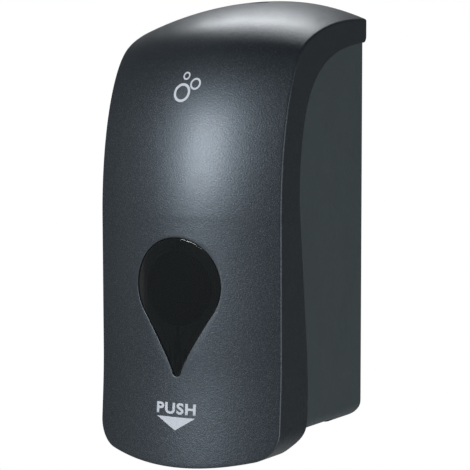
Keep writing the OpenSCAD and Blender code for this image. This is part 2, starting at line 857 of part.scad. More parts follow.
rear_housing();
hinge_pins();
rest_pads();
soap_tank();
tank_lid();
lid_gasket();
tank_clips();
pump_bracket();
bracket_screws();
pump_body();
gland_cap();
neck_nut();
neck_seal();
inlet_ball();
ball_cage();
outlet_valve();
nozzle();
push_frame();
frame_bushes();
press_pad();
frame_pins();
barrel_bush();
plunger_rod();
plunger_head();
piston();
piston_seals();
return_spring();
lock_barrel();
lock_cam();
barrel_clip();
front_cover();
window_lens();
window_gasket();
cover_arms();
arm_screws();
cover_catch();
catch_screw();
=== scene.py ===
"""Looks for a wall mounted soap dispenser: a domed push cover over a housing, a tank and a hand pump."""

from __future__ import annotations

import logging
import math
from dataclasses import dataclass, field
from enum import Enum
from typing import Iterable, Sequence

import bpy
import numpy as np
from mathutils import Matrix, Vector


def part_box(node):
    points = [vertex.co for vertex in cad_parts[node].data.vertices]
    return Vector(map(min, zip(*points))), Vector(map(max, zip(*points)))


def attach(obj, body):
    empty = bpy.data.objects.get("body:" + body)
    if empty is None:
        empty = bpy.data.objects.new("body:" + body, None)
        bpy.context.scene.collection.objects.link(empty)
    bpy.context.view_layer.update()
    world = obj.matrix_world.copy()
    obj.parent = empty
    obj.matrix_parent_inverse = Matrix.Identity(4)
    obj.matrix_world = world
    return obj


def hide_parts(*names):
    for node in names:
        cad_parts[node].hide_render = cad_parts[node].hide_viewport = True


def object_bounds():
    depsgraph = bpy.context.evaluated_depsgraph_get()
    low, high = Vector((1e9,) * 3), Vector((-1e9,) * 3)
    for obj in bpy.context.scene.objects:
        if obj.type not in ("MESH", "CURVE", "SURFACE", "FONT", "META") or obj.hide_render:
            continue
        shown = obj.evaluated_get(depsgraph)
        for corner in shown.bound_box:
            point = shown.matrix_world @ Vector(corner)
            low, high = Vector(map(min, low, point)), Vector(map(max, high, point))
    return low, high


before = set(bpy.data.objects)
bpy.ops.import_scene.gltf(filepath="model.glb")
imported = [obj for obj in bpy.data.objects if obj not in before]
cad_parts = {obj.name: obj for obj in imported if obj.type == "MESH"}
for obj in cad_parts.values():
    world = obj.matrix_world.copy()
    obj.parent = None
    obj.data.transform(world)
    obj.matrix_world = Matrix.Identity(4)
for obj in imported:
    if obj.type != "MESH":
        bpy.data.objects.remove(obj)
CAD_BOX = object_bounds()

LOG = logging.getLogger("dispenser")
MM = 0.001
Triple = tuple[float, float, float]


class Body(str, Enum):
    """The bodies that pieces ride on."""

    HOUSING = "housing"
    FRAME = "push_frame"
    PLUNGER = "plunger"
    LOCK = "lock"
    COVER = "cover"


class Slot(str, Enum):
    """The record's material slots."""

    PAINT = "cover_paint"
    HOUSING = "housing_abs"
    LENS = "smoked_lens"
    NYLON = "frame_plastic"
    DARK = "dark_plastic"
    TANK = "tank_plastic"
    ACETAL = "acetal"
    STEEL = "steel"
    CHROME = "lock_chrome"
    BRASS = "lock_brass"
    RUBBER = "black_rubber"
    SILICONE = "red_silicone"
    CLEAR = "clear_silicone"


# ---------------------------------------------------------------- shader maths


class Wire:
    """A shader socket that builds Math nodes when it is used in an expression."""

    def __init__(self, nodes: "Nodes", socket: bpy.types.NodeSocket | None) -> None:
        """Wraps one output socket of a node tree; an output node has none."""
        self.nodes = nodes
        self.socket = socket

    def __mul__(self, other: object) -> "Wire":
        """Product of two values."""
        return self.nodes.add("ShaderNodeMath", {"operation": "MULTIPLY"}, {0: self, 1: other})

    __rmul__ = __mul__


class Nodes:
    """The node tree of a material or a world, with a single method that adds any node."""

    def __init__(self, owner: bpy.types.Material | bpy.types.World) -> None:
        """Empties the owner's tree."""
        owner.use_nodes = True
        self.owner = owner
        self.tree = owner.node_tree
        self.tree.nodes.clear()

    def add(self, kind: str, settings: dict[str, object] | None = None,
            inputs: dict[int | str, object] | None = None, output: int | str = 0) -> Wire:
        """Adds a node.

        Args:
            kind: The node's type name.
            settings: Properties, set before the sockets.
            inputs: Values or wires by socket name or number.
            output: Which output the returned wire carries.

        Returns:
            The chosen output.
        """
        node = self.tree.nodes.new(kind)
        for key, value in (settings or {}).items():
            setattr(node, key, value)
        for key, value in (inputs or {}).items():
            if isinstance(value, Wire):
                self.tree.links.new(value.socket, node.inputs[key])
            else:
                node.inputs[key].default_value = value
        return Wire(self, node.outputs[output] if node.outputs else None)

    def place(self, stretch: Triple = (1.0, 1.0, 1.0)) -> Wire:
        """Object coordinates, stretched about the origin."""
        where = self.add("ShaderNodeTexCoord", output="Object")
        return self.add("ShaderNodeMapping", None, {"Vector": where, "Scale": stretch})

    def noise(self, scale: float, detail: float = 3.0, rough: float = 0.5,
              stretch: Triple = (1.0, 1.0, 1.0)) -> Wire:
        """Noise over the piece, with features of about 1 / scale metres."""
        return self.add("ShaderNodeTexNoise", None, {
            "Vector": self.place(stretch), "Scale": scale, "Detail": detail, "Roughness": rough})

    def mix(self, factor: object, first: object, second: object) -> Wire:
        """Blend of two colours."""
        return self.add("ShaderNodeMix", {"data_type": "RGBA"}, {0: factor, 6: first, 7: second}, 2)

    def span(self, value: Wire, low: float, high: float, to_low: float | Wire, to_high: float) -> Wire:
        """Value moved from one range to another, clamped."""
        return self.add("ShaderNodeMapRange", None, {0: value, 1: low, 2: high, 3: to_low, 4: to_high})

    def bump(self, height: Wire, strength: float, distance: float, under: Wire | None = None) -> Wire:
        """Bump of a height, on top of an earlier one."""
        inputs: dict[int | str, object] = {"Height": height, "Strength": strength, "Distance": distance}
        if under is not None:
            inputs["Normal"] = under
        return self.add("ShaderNodeBump", None, inputs)

    def surface(self, settings: dict[int | str, object]) -> bpy.types.Material:
        """Ends the tree with a Principled shader and returns the material."""
        shader = self.add("ShaderNodeBsdfPrincipled", None, settings)
        self.add("ShaderNodeOutputMaterial", None, {"Surface": shader})
        return self.owner


Colour = tuple[float, float, float, float]


def shade(colour: Colour, by: float) -> Colour:
    """A colour made lighter or darker by a factor."""
    return (colour[0] * by, colour[1] * by, colour[2] * by, 1.0)


@dataclass(frozen=True)
class FlakePaint:
    """Dark satin paint with a fine metal flake."""

    name: str = "flake_paint"
    colour: Colour = (0.036, 0.046, 0.056, 1.0)
    flake: Colour = (0.110, 0.125, 0.145, 1.0)
    roughness: float = 0.41
    flake_scale: float = 2900.0

    def build(self) -> bpy.types.Material:
        """Makes the material: cells of flake, a soft mottling and an orange peel bump."""
        n = Nodes(bpy.data.materials.new(self.name))
        flakes = n.add("ShaderNodeTexVoronoi", None,
                       {"Vector": n.place(), "Scale": self.flake_scale}, "Color")
        lit = n.add("ShaderNodeSeparateColor", None, {0: flakes}, 0)
        sparkle = n.span(lit, 0.72, 1.0, 0.0, 1.0)
        mottle = n.noise(28.0, 2.0)
        base = n.mix(mottle, shade(self.colour, 0.92), shade(self.colour, 1.08))
        colour = n.mix(sparkle * 0.4, base, self.flake)
        rough = n.span(lit, 0.0, 1.0, self.roughness - 0.05, self.roughness + 0.07)
        peel = n.bump(n.noise(1300.0, 2.0), 0.38, 0.0003)
        grain = n.bump(lit, 0.10, 0.0001, peel)
        return n.surface({"Base Color": colour, "Metallic": 0.72, "Roughness": rough, "Normal": grain,
                          "Coat Weight": 0.10, "Coat Roughness": 0.25})


@dataclass(frozen=True)
class MouldedPlastic:
    """Moulded plastic with a fine spark-eroded grain."""

    name: str
    colour: Colour
    roughness: float = 0.5
    grain_scale: float = 2200.0
    grain: float = 0.2
    specular: float = 0.45

    def build(self) -> bpy.types.Material:
        """Makes the material: faint flow clouds, grain bump and worn roughness."""
        n = Nodes(bpy.data.materials.new(self.name))
        cloud = n.noise(14.0, 3.0, 0.6)
        fine = n.noise(self.grain_scale, 2.0, 0.6)
        colour = n.mix(cloud, shade(self.colour, 0.90), shade(self.colour, 1.10))
        rough = n.span(n.noise(60.0, 3.0), 0.3, 0.7, self.roughness - 0.05, self.roughness + 0.06)
        normal = n.bump(fine, self.grain, 0.0003)
        return n.surface({"Base Color": colour, "Roughness": rough, "Normal": normal,
                          "Specular IOR Level": self.specular})


@dataclass(frozen=True)
class MilkyPlastic:
    """Translucent milky polyethylene or silicone."""

    name: str
    colour: Colour
    roughness: float = 0.38
    depth: float = 0.004

    def build(self) -> bpy.types.Material:
        """Makes the material: soft scattering under a slightly uneven skin."""
        n = Nodes(bpy.data.materials.new(self.name))
        cloud = n.noise(22.0, 3.0, 0.6)
        colour = n.mix(cloud, shade(self.colour, 0.94), self.colour)
        rough = n.span(n.noise(120.0, 2.0), 0.3, 0.7, self.roughness - 0.06, self.roughness + 0.06)
        normal = n.bump(n.noise(260.0, 2.0), 0.12, 0.0006)
        return n.surface({"Base Color": colour, "Roughness": rough, "Normal": normal,
                          "Subsurface Weight": 0.35, "Subsurface Scale": self.depth})


@dataclass(frozen=True)
class TurnedMetal:
    """Metal with fine turning or brushing lines."""

    name: str
    colour: Colour
    roughness: float = 0.28
    stretch: Triple = (1.0, 1.0, 9.0)

    def build(self) -> bpy.types.Material:
        """Makes the material: stretched noise for the lines, with a little tarnish."""
        n = Nodes(bpy.data.materials.new(self.name))
        lines = n.noise(900.0, 2.0, 0.5, self.stretch)
        tarnish = n.noise(90.0, 4.0, 0.65)
        colour = n.mix(tarnish, shade(self.colour, 0.82), self.colour)
        rough = n.span(lines, 0.3, 0.7, self.roughness - 0.07, self.roughness + 0.10)
        normal = n.bump(lines, 0.10, 0.0002)
        return n.surface({"Base Color": colour, "Metallic": 1.0, "Roughness": rough, "Normal": normal})


@dataclass(frozen=True)
class SoftRubber:
    """Matte rubber or silicone with dusty patches."""

    name: str
    colour: Colour
    roughness: float = 0.72

    def build(self) -> bpy.types.Material:
        """Makes the material: a dull skin with fine pits and paler patches."""
        n = Nodes(bpy.data.materials.new(self.name))
        dust = n.noise(75.0, 4.0, 0.7)
        colour = n.mix(n.span(dust, 0.45, 0.75, 0.0, 0.6), self.colour, shade(self.colour, 1.7))
        rough = n.span(dust, 0.3, 0.7, self.roughness - 0.06, self.roughness + 0.08)
        normal = n.bump(n.noise(1500.0, 3.0), 0.25, 0.0003)
        return n.surface({"Base Color": colour, "Roughness": rough, "Normal": normal,
                          "Specular IOR Level": 0.35})


@dataclass(frozen=True)
class SmokedLens:
    """Glossy smoked acrylic, just see-through."""

    name: str = "smoked_acrylic"
    colour: Colour = (0.0045, 0.0060, 0.0062, 1.0)
    cover: float = 0.86

    def build(self) -> bpy.types.Material:
        """Makes the material: a dark polished sheet with faint moulding waves and dust."""
        n = Nodes(bpy.data.materials.new(self.name))
        wave = n.noise(35.0, 2.0)
        dust = n.noise(1800.0, 2.0)
        colour = n.mix(wave, self.colour, shade(self.colour, 1.3))
        rough = n.span(dust, 0.55, 0.8, 0.10, 0.22)
        normal = n.bump(wave, 0.06, 0.0005)
        alpha = n.span(wave, 0.2, 0.8, self.cover - 0.01, self.cover + 0.01)
        return n.surface({"Base Color": colour, "Roughness": rough, "Normal": normal, "Alpha": alpha,
                          "Specular IOR Level": 0.5})


@dataclass(frozen=True)
class PadPrint:
    """Pale pad printed ink, a little uneven."""

    name: str = "pad_print"
    colour: Colour = (0.40, 0.43, 0.48, 1.0)

    def build(self) -> bpy.types.Material:
        """Makes the material: matte ink with thin spots."""
        n = Nodes(bpy.data.materials.new(self.name))
        thin = n.noise(900.0, 3.0, 0.6)
        colour = n.mix(n.span(thin, 0.55, 0.8, 0.0, 0.35), self.colour, shade(self.colour, 0.7))
        rough = n.span(thin, 0.2, 0.8, 0.45, 0.6)
        return n.surface({"Base Color": colour, "Roughness": rough, "Normal": n.bump(thin, 0.1, 0.0001)})


@dataclass(frozen=True)
class StudioFloor:
    """Pale matte floor."""

    name: str = "studio_floor"
    colour: Colour = (0.80, 0.80, 0.80, 1.0)

    def build(self) -> bpy.types.Material:
        """Makes the material: matte paint with a hint of unevenness."""
        n = Nodes(bpy.data.materials.new(self.name))
        cloud = n.noise(2.0, 2.0)
        colour = n.mix(cloud, shade(self.colour, 0.97), self.colour)
        return n.surface({"Base Color": colour, "Roughness": 0.9, "Specular IOR Level": 0.1})


class Look(Enum):
    """Every finish on the dispenser."""

    PAINT = FlakePaint()
    LENS = SmokedLens()
    INK = PadPrint()
    HOUSING = MouldedPlastic("housing_plastic", (0.040, 0.056, 0.060, 1.0), 0.55, 1700.0, 0.35)
    NYLON = MouldedPlastic("grey_nylon", (0.085, 0.098, 0.103, 1.0), 0.42, 2600.0, 0.15)
    DARK = MouldedPlastic("dark_plastic", (0.022, 0.025, 0.028, 1.0), 0.38, 2400.0, 0.15)
    ACETAL = MouldedPlastic("white_acetal", (0.72, 0.70, 0.62, 1.0), 0.35, 3000.0, 0.08)
    TANK = MilkyPlastic("milky_polyethylene", (0.66, 0.69, 0.66, 1.0))
    CLEAR = MilkyPlastic("clear_silicone", (0.75, 0.75, 0.72, 1.0), 0.3)
    STEEL = TurnedMetal("stainless_steel", (0.50, 0.50, 0.49, 1.0))
    CHROME = TurnedMetal("chromed_zinc", (0.62, 0.63, 0.64, 1.0), 0.16)
    BRASS = TurnedMetal("turned_brass", (0.62, 0.45, 0.18, 1.0), 0.26)
    RUBBER = SoftRubber("black_rubber", (0.012, 0.012, 0.012, 1.0))
    # Painted light: the window gasket is black rubber, and this copy is painted lighter grey to stand in
    # for the light that shows it through the smoked lens.
    GASKET = SoftRubber("rubber_painted_lighter", (0.045, 0.050, 0.052, 1.0), 0.65)
    SILICONE = SoftRubber("red_silicone", (0.42, 0.05, 0.03, 1.0), 0.5)


Finishes = dict[Look, bpy.types.Material]


# ---------------------------------------------------------------- modelling by hand


FLAT_DEG = 0.6  # triangles that meet at less than this are one face
SHARP_DEG = 32.0  # edges sharper than this are rounded


class Bench:
    """The few hand operations that pieces are made with."""

    @staticmethod
    def clear() -> None:
        """Leaves edit mode and deselects everything."""
        if bpy.context.object is not None and bpy.context.object.mode != "OBJECT":
            bpy.ops.object.mode_set(mode="OBJECT")
        bpy.ops.object.select_all(action="DESELECT")

    @staticmethod
    def pick(*pieces: bpy.types.Object) -> None:
        """Selects only these pieces, with the first one active."""
        Bench.clear()
        for piece in pieces:
            piece.select_set(True)
        bpy.context.view_layer.objects.active = pieces[0]

    @staticmethod
    def points(piece: bpy.types.Object) -> np.ndarray:
        """The places of a piece's vertices."""
        return np.array([v.co[:] for v in piece.data.vertices])

    @staticmethod
    def move(piece: bpy.types.Object, points: np.ndarray) -> None:
        """Puts a piece's vertices at new places."""
        piece.data.vertices.foreach_set("co", points.reshape(-1).astype(np.float32))
        piece.data.update()

    @staticmethod
    def loft(name: str, rows: np.ndarray, caps: bool) -> bpy.types.Object:
        """Shapes a grid primitive into a tube whose vertices lie on rings of points.

        Args:
            name: The new piece's name.
            rows: Array of rings, points and x, y, z in metres.
            caps: Whether the first and last rings are filled.

        Returns:
            The new piece, with merged seams and outward normals.
        """
        rows = np.concatenate([rows, rows[:, :1]], axis=1)
        count, across = rows.shape[:2]
        Bench.clear()
        bpy.ops.mesh.primitive_grid_add(x_subdivisions=across - 1, y_subdivisions=count - 1, size=1.0)
        piece = bpy.context.object
        piece.name = piece.data.name = name
        Bench.move(piece, rows)
        bpy.ops.object.mode_set(mode="EDIT")
        bpy.ops.mesh.select_all(action="SELECT")
        bpy.ops.mesh.remove_doubles(threshold=1e-7)
        if caps:
            bpy.ops.mesh.select_all(action="DESELECT")
            bpy.ops.mesh.select_mode(type="EDGE")
            bpy.ops.mesh.select_non_manifold()
            bpy.ops.mesh.edge_face_add()
            bpy.ops.mesh.select_all(action="SELECT")
        bpy.ops.mesh.normals_make_consistent(inside=False)
        bpy.ops.object.mode_set(mode="OBJECT")
        return piece

    @staticmethod
    def modify(piece: bpy.types.Object, kind: str, **settings: object) -> None:
        """Adds one modifier and applies it."""
        Bench.pick(piece)
        bpy.ops.object.modifier_add(type=kind)
        modifier = piece.modifiers[-1]
        for key, value in settings.items():
            setattr(modifier, key, value)
        bpy.ops.object.modifier_apply(modifier=modifier.name)

    @staticmethod
    def smooth(piece: bpy.types.Object, degrees: float = 40.0) -> None:
        """Shades smooth, with sharp edges kept above an angle."""
        Bench.pick(piece)
        bpy.ops.object.shade_smooth_by_angle(angle=math.radians(degrees))

    @staticmethod
    def join(name: str, pieces: Sequence[bpy.types.Object]) -> bpy.types.Object:
        """Joins pieces into one mesh."""
        Bench.pick(*pieces)
        bpy.ops.object.join()
        piece = bpy.context.object
        piece.name = piece.data.name = name
        return piece

    @staticmethod
    def settle(piece: bpy.types.Object) -> None:
        """Moves a piece's place into its mesh."""
        Bench.pick(piece)
        bpy.ops.object.transform_apply(location=True, rotation=True, scale=True)

    @staticmethod
    def refined_copy(node: str, bevel: float) -> bpy.types.Object:
        """Copies a CAD node, merges its loose triangles and rounds its edges.

        Args:
            node: The CAD node's name.
            bevel: Width of the rounded edges in metres.

        Returns:
            The finished copy.
        """
        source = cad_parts[node]
        Bench.clear()
        piece = bpy.data.objects.new(node + "_part", source.data.copy())
        bpy.context.scene.collection.objects.link(piece)
        piece.data.materials.clear()
        Bench.pick(piece)
        bpy.ops.object.mode_set(mode="EDIT")
        bpy.ops.mesh.select_all(action="SELECT")
        bpy.ops.mesh.remove_doubles(threshold=2e-6)
        bpy.ops.mesh.dissolve_limited(angle_limit=math.radians(FLAT_DEG))
        bpy.ops.object.mode_set(mode="OBJECT")
        if bevel > 0:
            Bench.modify(piece, "BEVEL", width=bevel, segments=2, limit_method="ANGLE",
                         angle_limit=math.radians(SHARP_DEG), use_clamp_overlap=True, harden_normals=False)
        Bench.smooth(piece)
        Bench.modify(piece, "WEIGHTED_NORMAL", keep_sharp=True, weight=100)
        return piece


def dress(piece: bpy.types.Object, body: Body, slot: Slot, material: bpy.types.Material,
          *nodes: str) -> bpy.types.Object:
    """Gives a finished piece its material and body, and hides the CAD nodes it stands for."""
    piece.data.materials.clear()
    piece.data.materials.append(material)
    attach(piece, body.value)
    if nodes:
        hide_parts(*nodes)
    LOG.info("%s: %d faces on %s", piece.name, len(piece.data.polygons), body.value)
    return piece


# ---------------------------------------------------------------- the cover


Point2 = tuple[float, float]


def bezier(ends: Sequence[Point2], steps: int) -> np.ndarray:
    """Points on a cubic curve, without its last one."""
    t = (np.arange(steps) / steps)[:, None]
    a, b, c, d = (np.array(p, float) for p in ends)
    return (1 - t) ** 3 * a + 3 * (1 - t) ** 2 * t * b + 3 * (1 - t) * t * t * c + t ** 3 * d


def straight(a: Point2, b: Point2) -> list[Point2]:
    """A straight line as a cubic curve."""
    start, end = np.array(a, float), np.array(b, float)
    return [a, tuple(start + (end - start) / 3), tuple(start + (end - start) * 2 / 3), b]


def lengths(points: np.ndarray) -> np.ndarray:
    """Distance along a chain of points, from its first one."""
    return np.concatenate([[0.0], np.cumsum(np.linalg.norm(np.diff(points, axis=0), axis=1))])


@dataclass
class CoverSkin:
    """The free curved outer surface of the push cover, in millimetres.

    A place on it is given by x across the width and s along the side edge, from the wall over the
    roof and down the front.
    """

    half: float
    top: float
    low: float
    front: float = -109.0
    front_crown: float = 15.0
    roof_crown: float = 12.5
    corner_r: float = 17.0
    lip_drop: float = 11.2
    lip_rise: float = 0.00256
    window_z: float = -29.0
    window_r: float = 27.5
    tip_r: float = 2.7
    tip_drop: float = 49.3
    edge: np.ndarray = field(init=False)
    along: np.ndarray = field(init=False)
    outward: np.ndarray = field(init=False)

    def __post_init__(self) -> None:
        """Works out the side edge, its length and its outward direction."""
        f, t, b = self.front, self.top, self.low
        shoulder, waist, flare = (f + 27, t - 18.9), (f, t - 115), (f + 0.6, b + 53)
        parts = [
            [(0, t), (-32, t), (shoulder[0] + 14, shoulder[1] + 11.3), shoulder],
            [shoulder, (shoulder[0] - 15.5, shoulder[1] - 12.6), (f, t - 70), waist],
            straight(waist, flare),
            [flare, (f + 0.8, b + 32), (f - 1.6, b + 10), (f - 3, b - 15)]]
        self.edge = np.concatenate([bezier(p, 80) for p in parts] + [[parts[3][3]]])
        self.along = lengths(self.edge)
        way = np.gradient(self.edge, self.along, axis=0)
        way /= np.linalg.norm(way, axis=1)[:, None]
        self.outward = np.stack([way[:, 1], -way[:, 0]], axis=1)

    def _at(self, s: np.ndarray) -> tuple[np.ndarray, np.ndarray, np.ndarray, np.ndarray]:
        """Edge point and outward direction at places s."""
        values = [np.interp(s, self.along, column) for column in (*self.edge.T, *self.outward.T)]
        norm = np.hypot(values[2], values[3])
        return values[0], values[1], values[2] / norm, values[3] / norm

    def _crown(self, ny: np.ndarray, nz: np.ndarray) -> np.ndarray:
        """Bulge in the middle of the width."""
        return self.roof_crown * nz ** 2 + self.front_crown * ny ** 2 - 4 * np.abs(ny * nz)

    def point(self, x: np.ndarray, s: np.ndarray, inset: float | np.ndarray = 0.0) -> np.ndarray:
        """Points x, y, z at places x, s, moved inwards by an inset."""
        ey, ez, ny, nz = self._at(s)
        h = self._crown(ny, nz) * (1 - (x / self.half) ** 2) - inset
        return np.stack([x + 0 * h, ey + ny * h, ez + nz * h], axis=-1)

    def normal(self, x: np.ndarray, s: np.ndarray) -> np.ndarray:
        """Outward directions at places x, s."""
        _, _, ny, nz = self._at(s)
        tilt = 2 * self._crown(ny, nz) * x / self.half ** 2
        return np.stack([tilt, ny, nz], axis=-1) / np.sqrt(1 + tilt ** 2)[..., None]

    def place(self, x: np.ndarray, level: np.ndarray, inset: float, roof: bool = False) -> np.ndarray:
        """Place s whose point has a given height, or a given depth on the roof.

        Args:
            x: Places across the width.
            level: Heights z, or depths y where roof is set.
            inset: How far the surface is moved inwards.
            roof: Whether the level is a depth on the roof.

        Returns:
            Places s, one for each x.
        """
        ey, ez, ny, nz = self.edge[:, 0], self.edge[:, 1], self.outward[:, 0], self.outward[:, 1]
        crown = self._crown(ny, nz)
        use = slice(0, 90) if roof else slice(90, None)
        found = np.empty(len(x))
        for k, (xk, want) in enumerate(zip(x, level)):
            h = crown * (1 - (xk / self.half) ** 2) - inset
            run = (ey + ny * h if roof else ez + nz * h)[use]
            found[k] = np.interp(-want, -run, self.along[use])
        return found

    def outline(self, inset: float, middle: int, corner: int) -> tuple[np.ndarray, np.ndarray, np.ndarray]:
        """The bottom edge seen from the front, from left to right.

        Args:
            inset: How far the edge is moved inwards.
            middle: Steps along the curved middle.
            corner: Steps round each corner.

        Returns:
            x, z and the outward directions.
        """
        r, half = self.corner_r - inset, self.half - inset
        turn = math.atan(2 * self.lip_rise * (self.half - self.corner_r))
        foot_x = half - r * (1 - math.sin(turn))
        lip = self.low - self.lip_drop + inset
        x = np.linspace(-foot_x, foot_x, middle + 1)
        smile = np.stack([x, lip + self.lip_rise * x ** 2], axis=1)
        down = np.stack([2 * self.lip_rise * x, 0 * x, -np.ones_like(x)], axis=1)
        down /= np.linalg.norm(down, axis=1)[:, None]
        a = np.linspace(turn - math.pi / 2, 0, corner + 1)[1:]
        centre = np.array([half - r, smile[-1, 1] + r * math.cos(turn)])
        arc = centre + r * np.stack([np.cos(a), np.sin(a)], axis=1)
        out = np.stack([np.cos(a), 0 * a, np.sin(a)], axis=1)
        flip2, flip3 = np.array([-1, 1]), np.array([-1, 1, 1])
        points = np.concatenate([arc[::-1] * flip2, smile, arc])
        return points[:, 0], points[:, 1], np.concatenate([out[::-1] * flip3, down, out])

    def drop(self, gap: float, count: int) -> np.ndarray:
        """The window's drop outline in x and z, from its top round to the right.

        Args:
            gap: How much smaller the outline is.
            count: How many points it has.

        Returns:
            Evenly spaced points.
        """
        r, tip, lean = self.window_r - gap, self.tip_r - gap, math.radians(35)
        leave = np.array([math.cos(lean), -math.sin(lean)]) * r
        way = np.array([-math.sin(lean), -math.cos(lean)])
        a = np.linspace(math.pi / 2, -lean, 120)[:-1]
        flank = bezier([tuple(leave), tuple(leave + 14 * way), (tip + 1.5, 5 - self.tip_drop),
                        (tip, -self.tip_drop)], 80)
        b = np.linspace(0, -math.pi / 2, 24)
        right = np.concatenate([r * np.stack([np.cos(a), np.sin(a)], axis=1), flank,
                                tip * np.stack([np.cos(b), np.sin(b)], axis=1) - [0, self.tip_drop]])
        ring = np.concatenate([right, right[-2::-1] * [-1, 1]])
        far = lengths(ring)
        want = np.arange(count) / count * far[-1]
        return np.stack([np.interp(want, far, ring[:, 0]),
                         np.interp(want, far, ring[:, 1]) + self.window_z], axis=1)


@dataclass
class SheetMesh:
    """Vertices and faces of one side of the cover's wall while it is being laid out."""

    points: list[np.ndarray] = field(default_factory=list)
    faces: list[tuple[int, ...]] = field(default_factory=list)
    count: int = 0

    def add(self, points: np.ndarray) -> np.ndarray:
        """Adds points and returns their numbers in the same shape."""
        flat = points.reshape(-1, 3)
        numbers = np.arange(self.count, self.count + len(flat))
        self.points.append(flat)
        self.count += len(flat)
        return numbers.reshape(points.shape[:-1])

    def grow(self, before: np.ndarray, rows: Iterable[np.ndarray], closed: bool) -> None:
        """Adds rows of points, each joined with faces to the one before it.

        Args:
            before: Numbers of the row that is there already.
            rows: The new rows, in order.
            closed: Whether the rows are rings round a hole, which face the other way.
        """
        for points in rows:
            row = self.add(points)
            first, second = (row, before) if closed else (before, row)
            for k in range(len(row) if closed else len(row) - 1):
                n = (k + 1) % len(row)
                self.faces.append((first[k], first[n], second[n], second[k]))
            before = row


@dataclass(frozen=True)
class Hole:
    """A hole through the cover, and the block of grid cells that gives way to it, in millimetres."""

    level: float
    half_width: float
    half_level: float
    roof: bool


@dataclass
class SideGrid:
    """The grid over one side of the wall.

    Its points lie at places x and s. The rounded edge starts at its border and stands in for a
    sharp corner at corner_x and corner_s, whose outward direction along the foot is out.
    """

    inset: float
    x: np.ndarray
    s: np.ndarray
    corner_x: np.ndarray
    corner_s: np.ndarray
    out: np.ndarray
    numbers: np.ndarray


